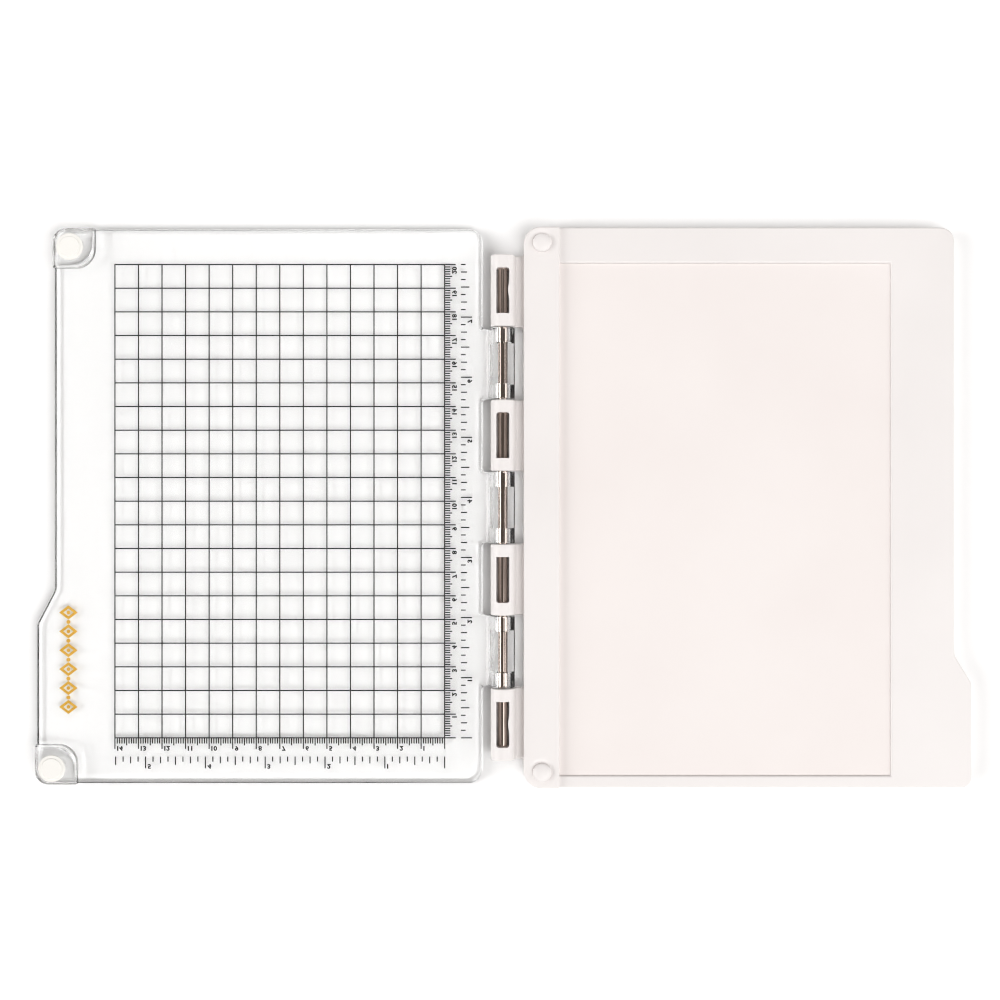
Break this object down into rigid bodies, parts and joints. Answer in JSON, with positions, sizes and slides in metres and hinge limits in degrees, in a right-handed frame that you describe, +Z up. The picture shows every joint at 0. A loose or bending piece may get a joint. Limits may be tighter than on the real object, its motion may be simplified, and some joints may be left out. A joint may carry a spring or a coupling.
{
  "type": "stamp positioning platform",
  "caption": "Folding stamp platform: a white board with a recessed work surface and a clear gridded lid that swings over it on a rod hinge.",
  "frame": {"origin": "on the table under the middle of the hinge rod, with the platform lying open flat", "axes": "+X from the hinge to the free edge of the white base, +Y along the hinge to the end away from the tab, +Z up"},
  "size_m": [0.395, 0.236, 0.0131],
  "materials": {
    "white_shell": "satin moulded",
    "work_mat": "fine matt",
    "sheet_steel": "rolled",
    "screw_steel": "zinc plated",
    "polished_rod": "drawn and polished",
    "foot_rubber": "matt",
    "clear_acrylic": "clear polished",
    "white_pad": "satin",
    "print_ink": "screen printed black",
    "gold_ink": "screen printed gold"
  },
  "bodies": {
    "base": {"base_tray": "white_shell", "bottom_cover": "white_shell", "steel_sheet": "sheet_steel", "work_mat": "work_mat", "hinge_rod": "polished_rod", "rod_plug_upper": "white_shell", "rod_plug_lower": "white_shell", "spine_bumper_1": "white_shell", "spine_bumper_2": "white_shell", "rubber_foot_1": "foot_rubber", "rubber_foot_2": "foot_rubber", "rubber_foot_3": "foot_rubber", "rubber_foot_4": "foot_rubber", "cover_screw_1": "screw_steel", "cover_screw_2": "screw_steel", "cover_screw_3": "screw_steel", "cover_screw_4": "screw_steel", "cover_screw_5": "screw_steel", "cover_screw_6": "screw_steel"},
    "lid": {"lid": "clear_acrylic", "corner_pad_1": "white_pad", "corner_pad_2": "white_pad"}
  },
  "joints": [
    {"name": "lid_hinge", "type": "hinge", "parent": "base", "child": "lid", "pos_m": [0, 0, 0.008], "axis": [0, 1, 0], "range_deg": [0, 180]}
  ]
}
